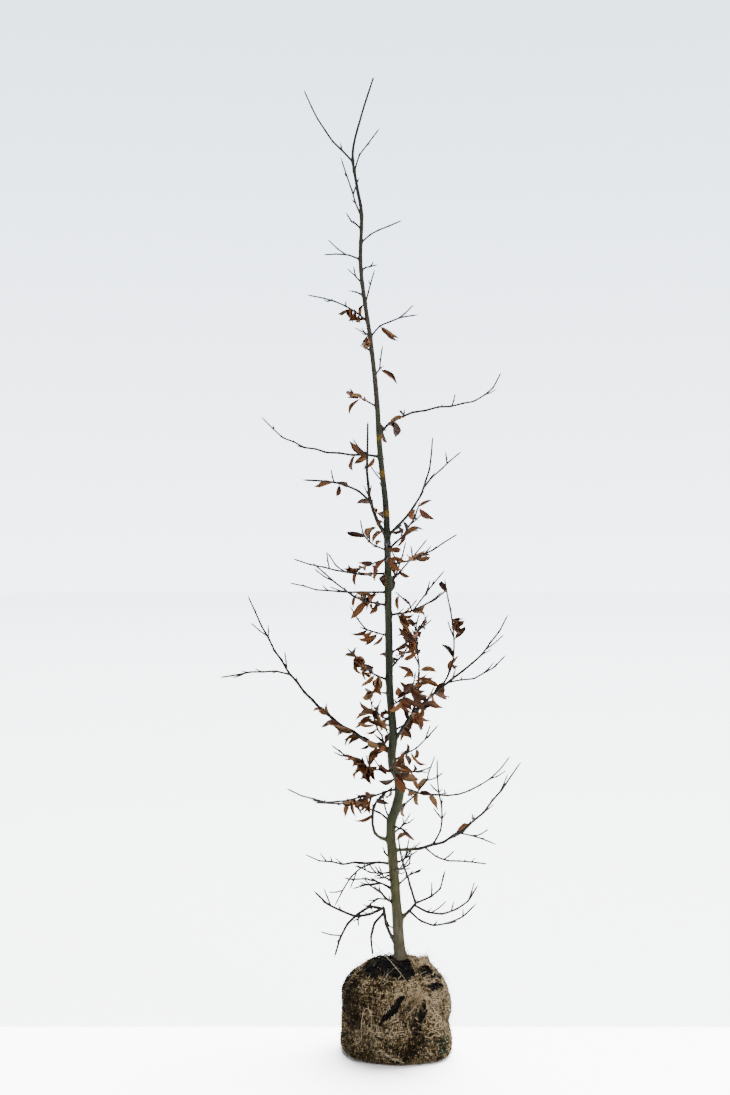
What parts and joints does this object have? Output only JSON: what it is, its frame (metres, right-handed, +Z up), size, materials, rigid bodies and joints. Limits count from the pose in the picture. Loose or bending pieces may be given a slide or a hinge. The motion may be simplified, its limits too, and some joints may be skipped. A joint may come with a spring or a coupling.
{
  "type": "sapling with root ball",
  "caption": "Young feathered broadleaf tree in winter, with a few dry leaves, lifted with its root ball of soil wrapped and knotted in hessian so that it stands for planting.",
  "frame": {"origin": "centre of the root ball's flat underside, where it stands on the ground", "axes": "+Z up along the trunk, +X to the right as seen from the side where the hessian is knotted, -Y towards that front side"},
  "size_m": [0.7507, 0.4, 2.4613],
  "materials": {
    "bark": "matte",
    "sprays": "matte",
    "soil": "matte",
    "hessian": "matte",
    "tape": "satin"
  },
  "bodies": {
    "root": {"trunk": "bark", "tie_band": "tape", "soil": "soil", "hessian_wrap": "hessian", "hessian_knot": "hessian", "arch_left_bough": "bark", "foot_left_bough": "bark", "foot_right_bough": "bark", "long_left_bough": "bark", "long_right_bough": "bark", "long_right_low_bough": "bark", "upright_left_bough": "bark", "upright_right_bough": "bark", "arch_left": "sprays", "back_high": "sprays", "back_leafy": "sprays", "back_low": "sprays", "crown_left": "sprays", "crown_left_steep": "sprays", "crown_right": "sprays", "crown_right_steep": "sprays", "foot_left": "sprays", "foot_right": "sprays", "front_leafy": "sprays", "front_leafy_low": "sprays", "front_top": "sprays", "high_front": "sprays", "high_left": "sprays", "high_right": "sprays", "leader_left": "sprays", "left_hook": "sprays", "left_leafy_high": "sprays", "left_leafy_low": "sprays", "left_leafy_rise": "sprays", "left_leafy_top": "sprays", "left_level": "sprays", "left_level_high": "sprays", "left_level_thin": "sprays", "left_rise": "sprays", "left_rise_long": "sprays", "left_slender": "sprays", "long_left": "sprays", "long_right": "sprays", "long_right_low": "sprays", "low_back": "sprays", "low_front": "sprays", "low_left": "sprays", "low_left_thin": "sprays", "right_back_low": "sprays", "right_fork": "sprays", "right_leafy_high": "sprays", "right_leafy_top": "sprays", "right_level": "sprays", "right_slender": "sprays", "right_upright": "sprays", "top_left": "sprays", "top_right": "sprays", "upright_left": "sprays", "upright_right": "sprays"}
  },
  "joints": []
}
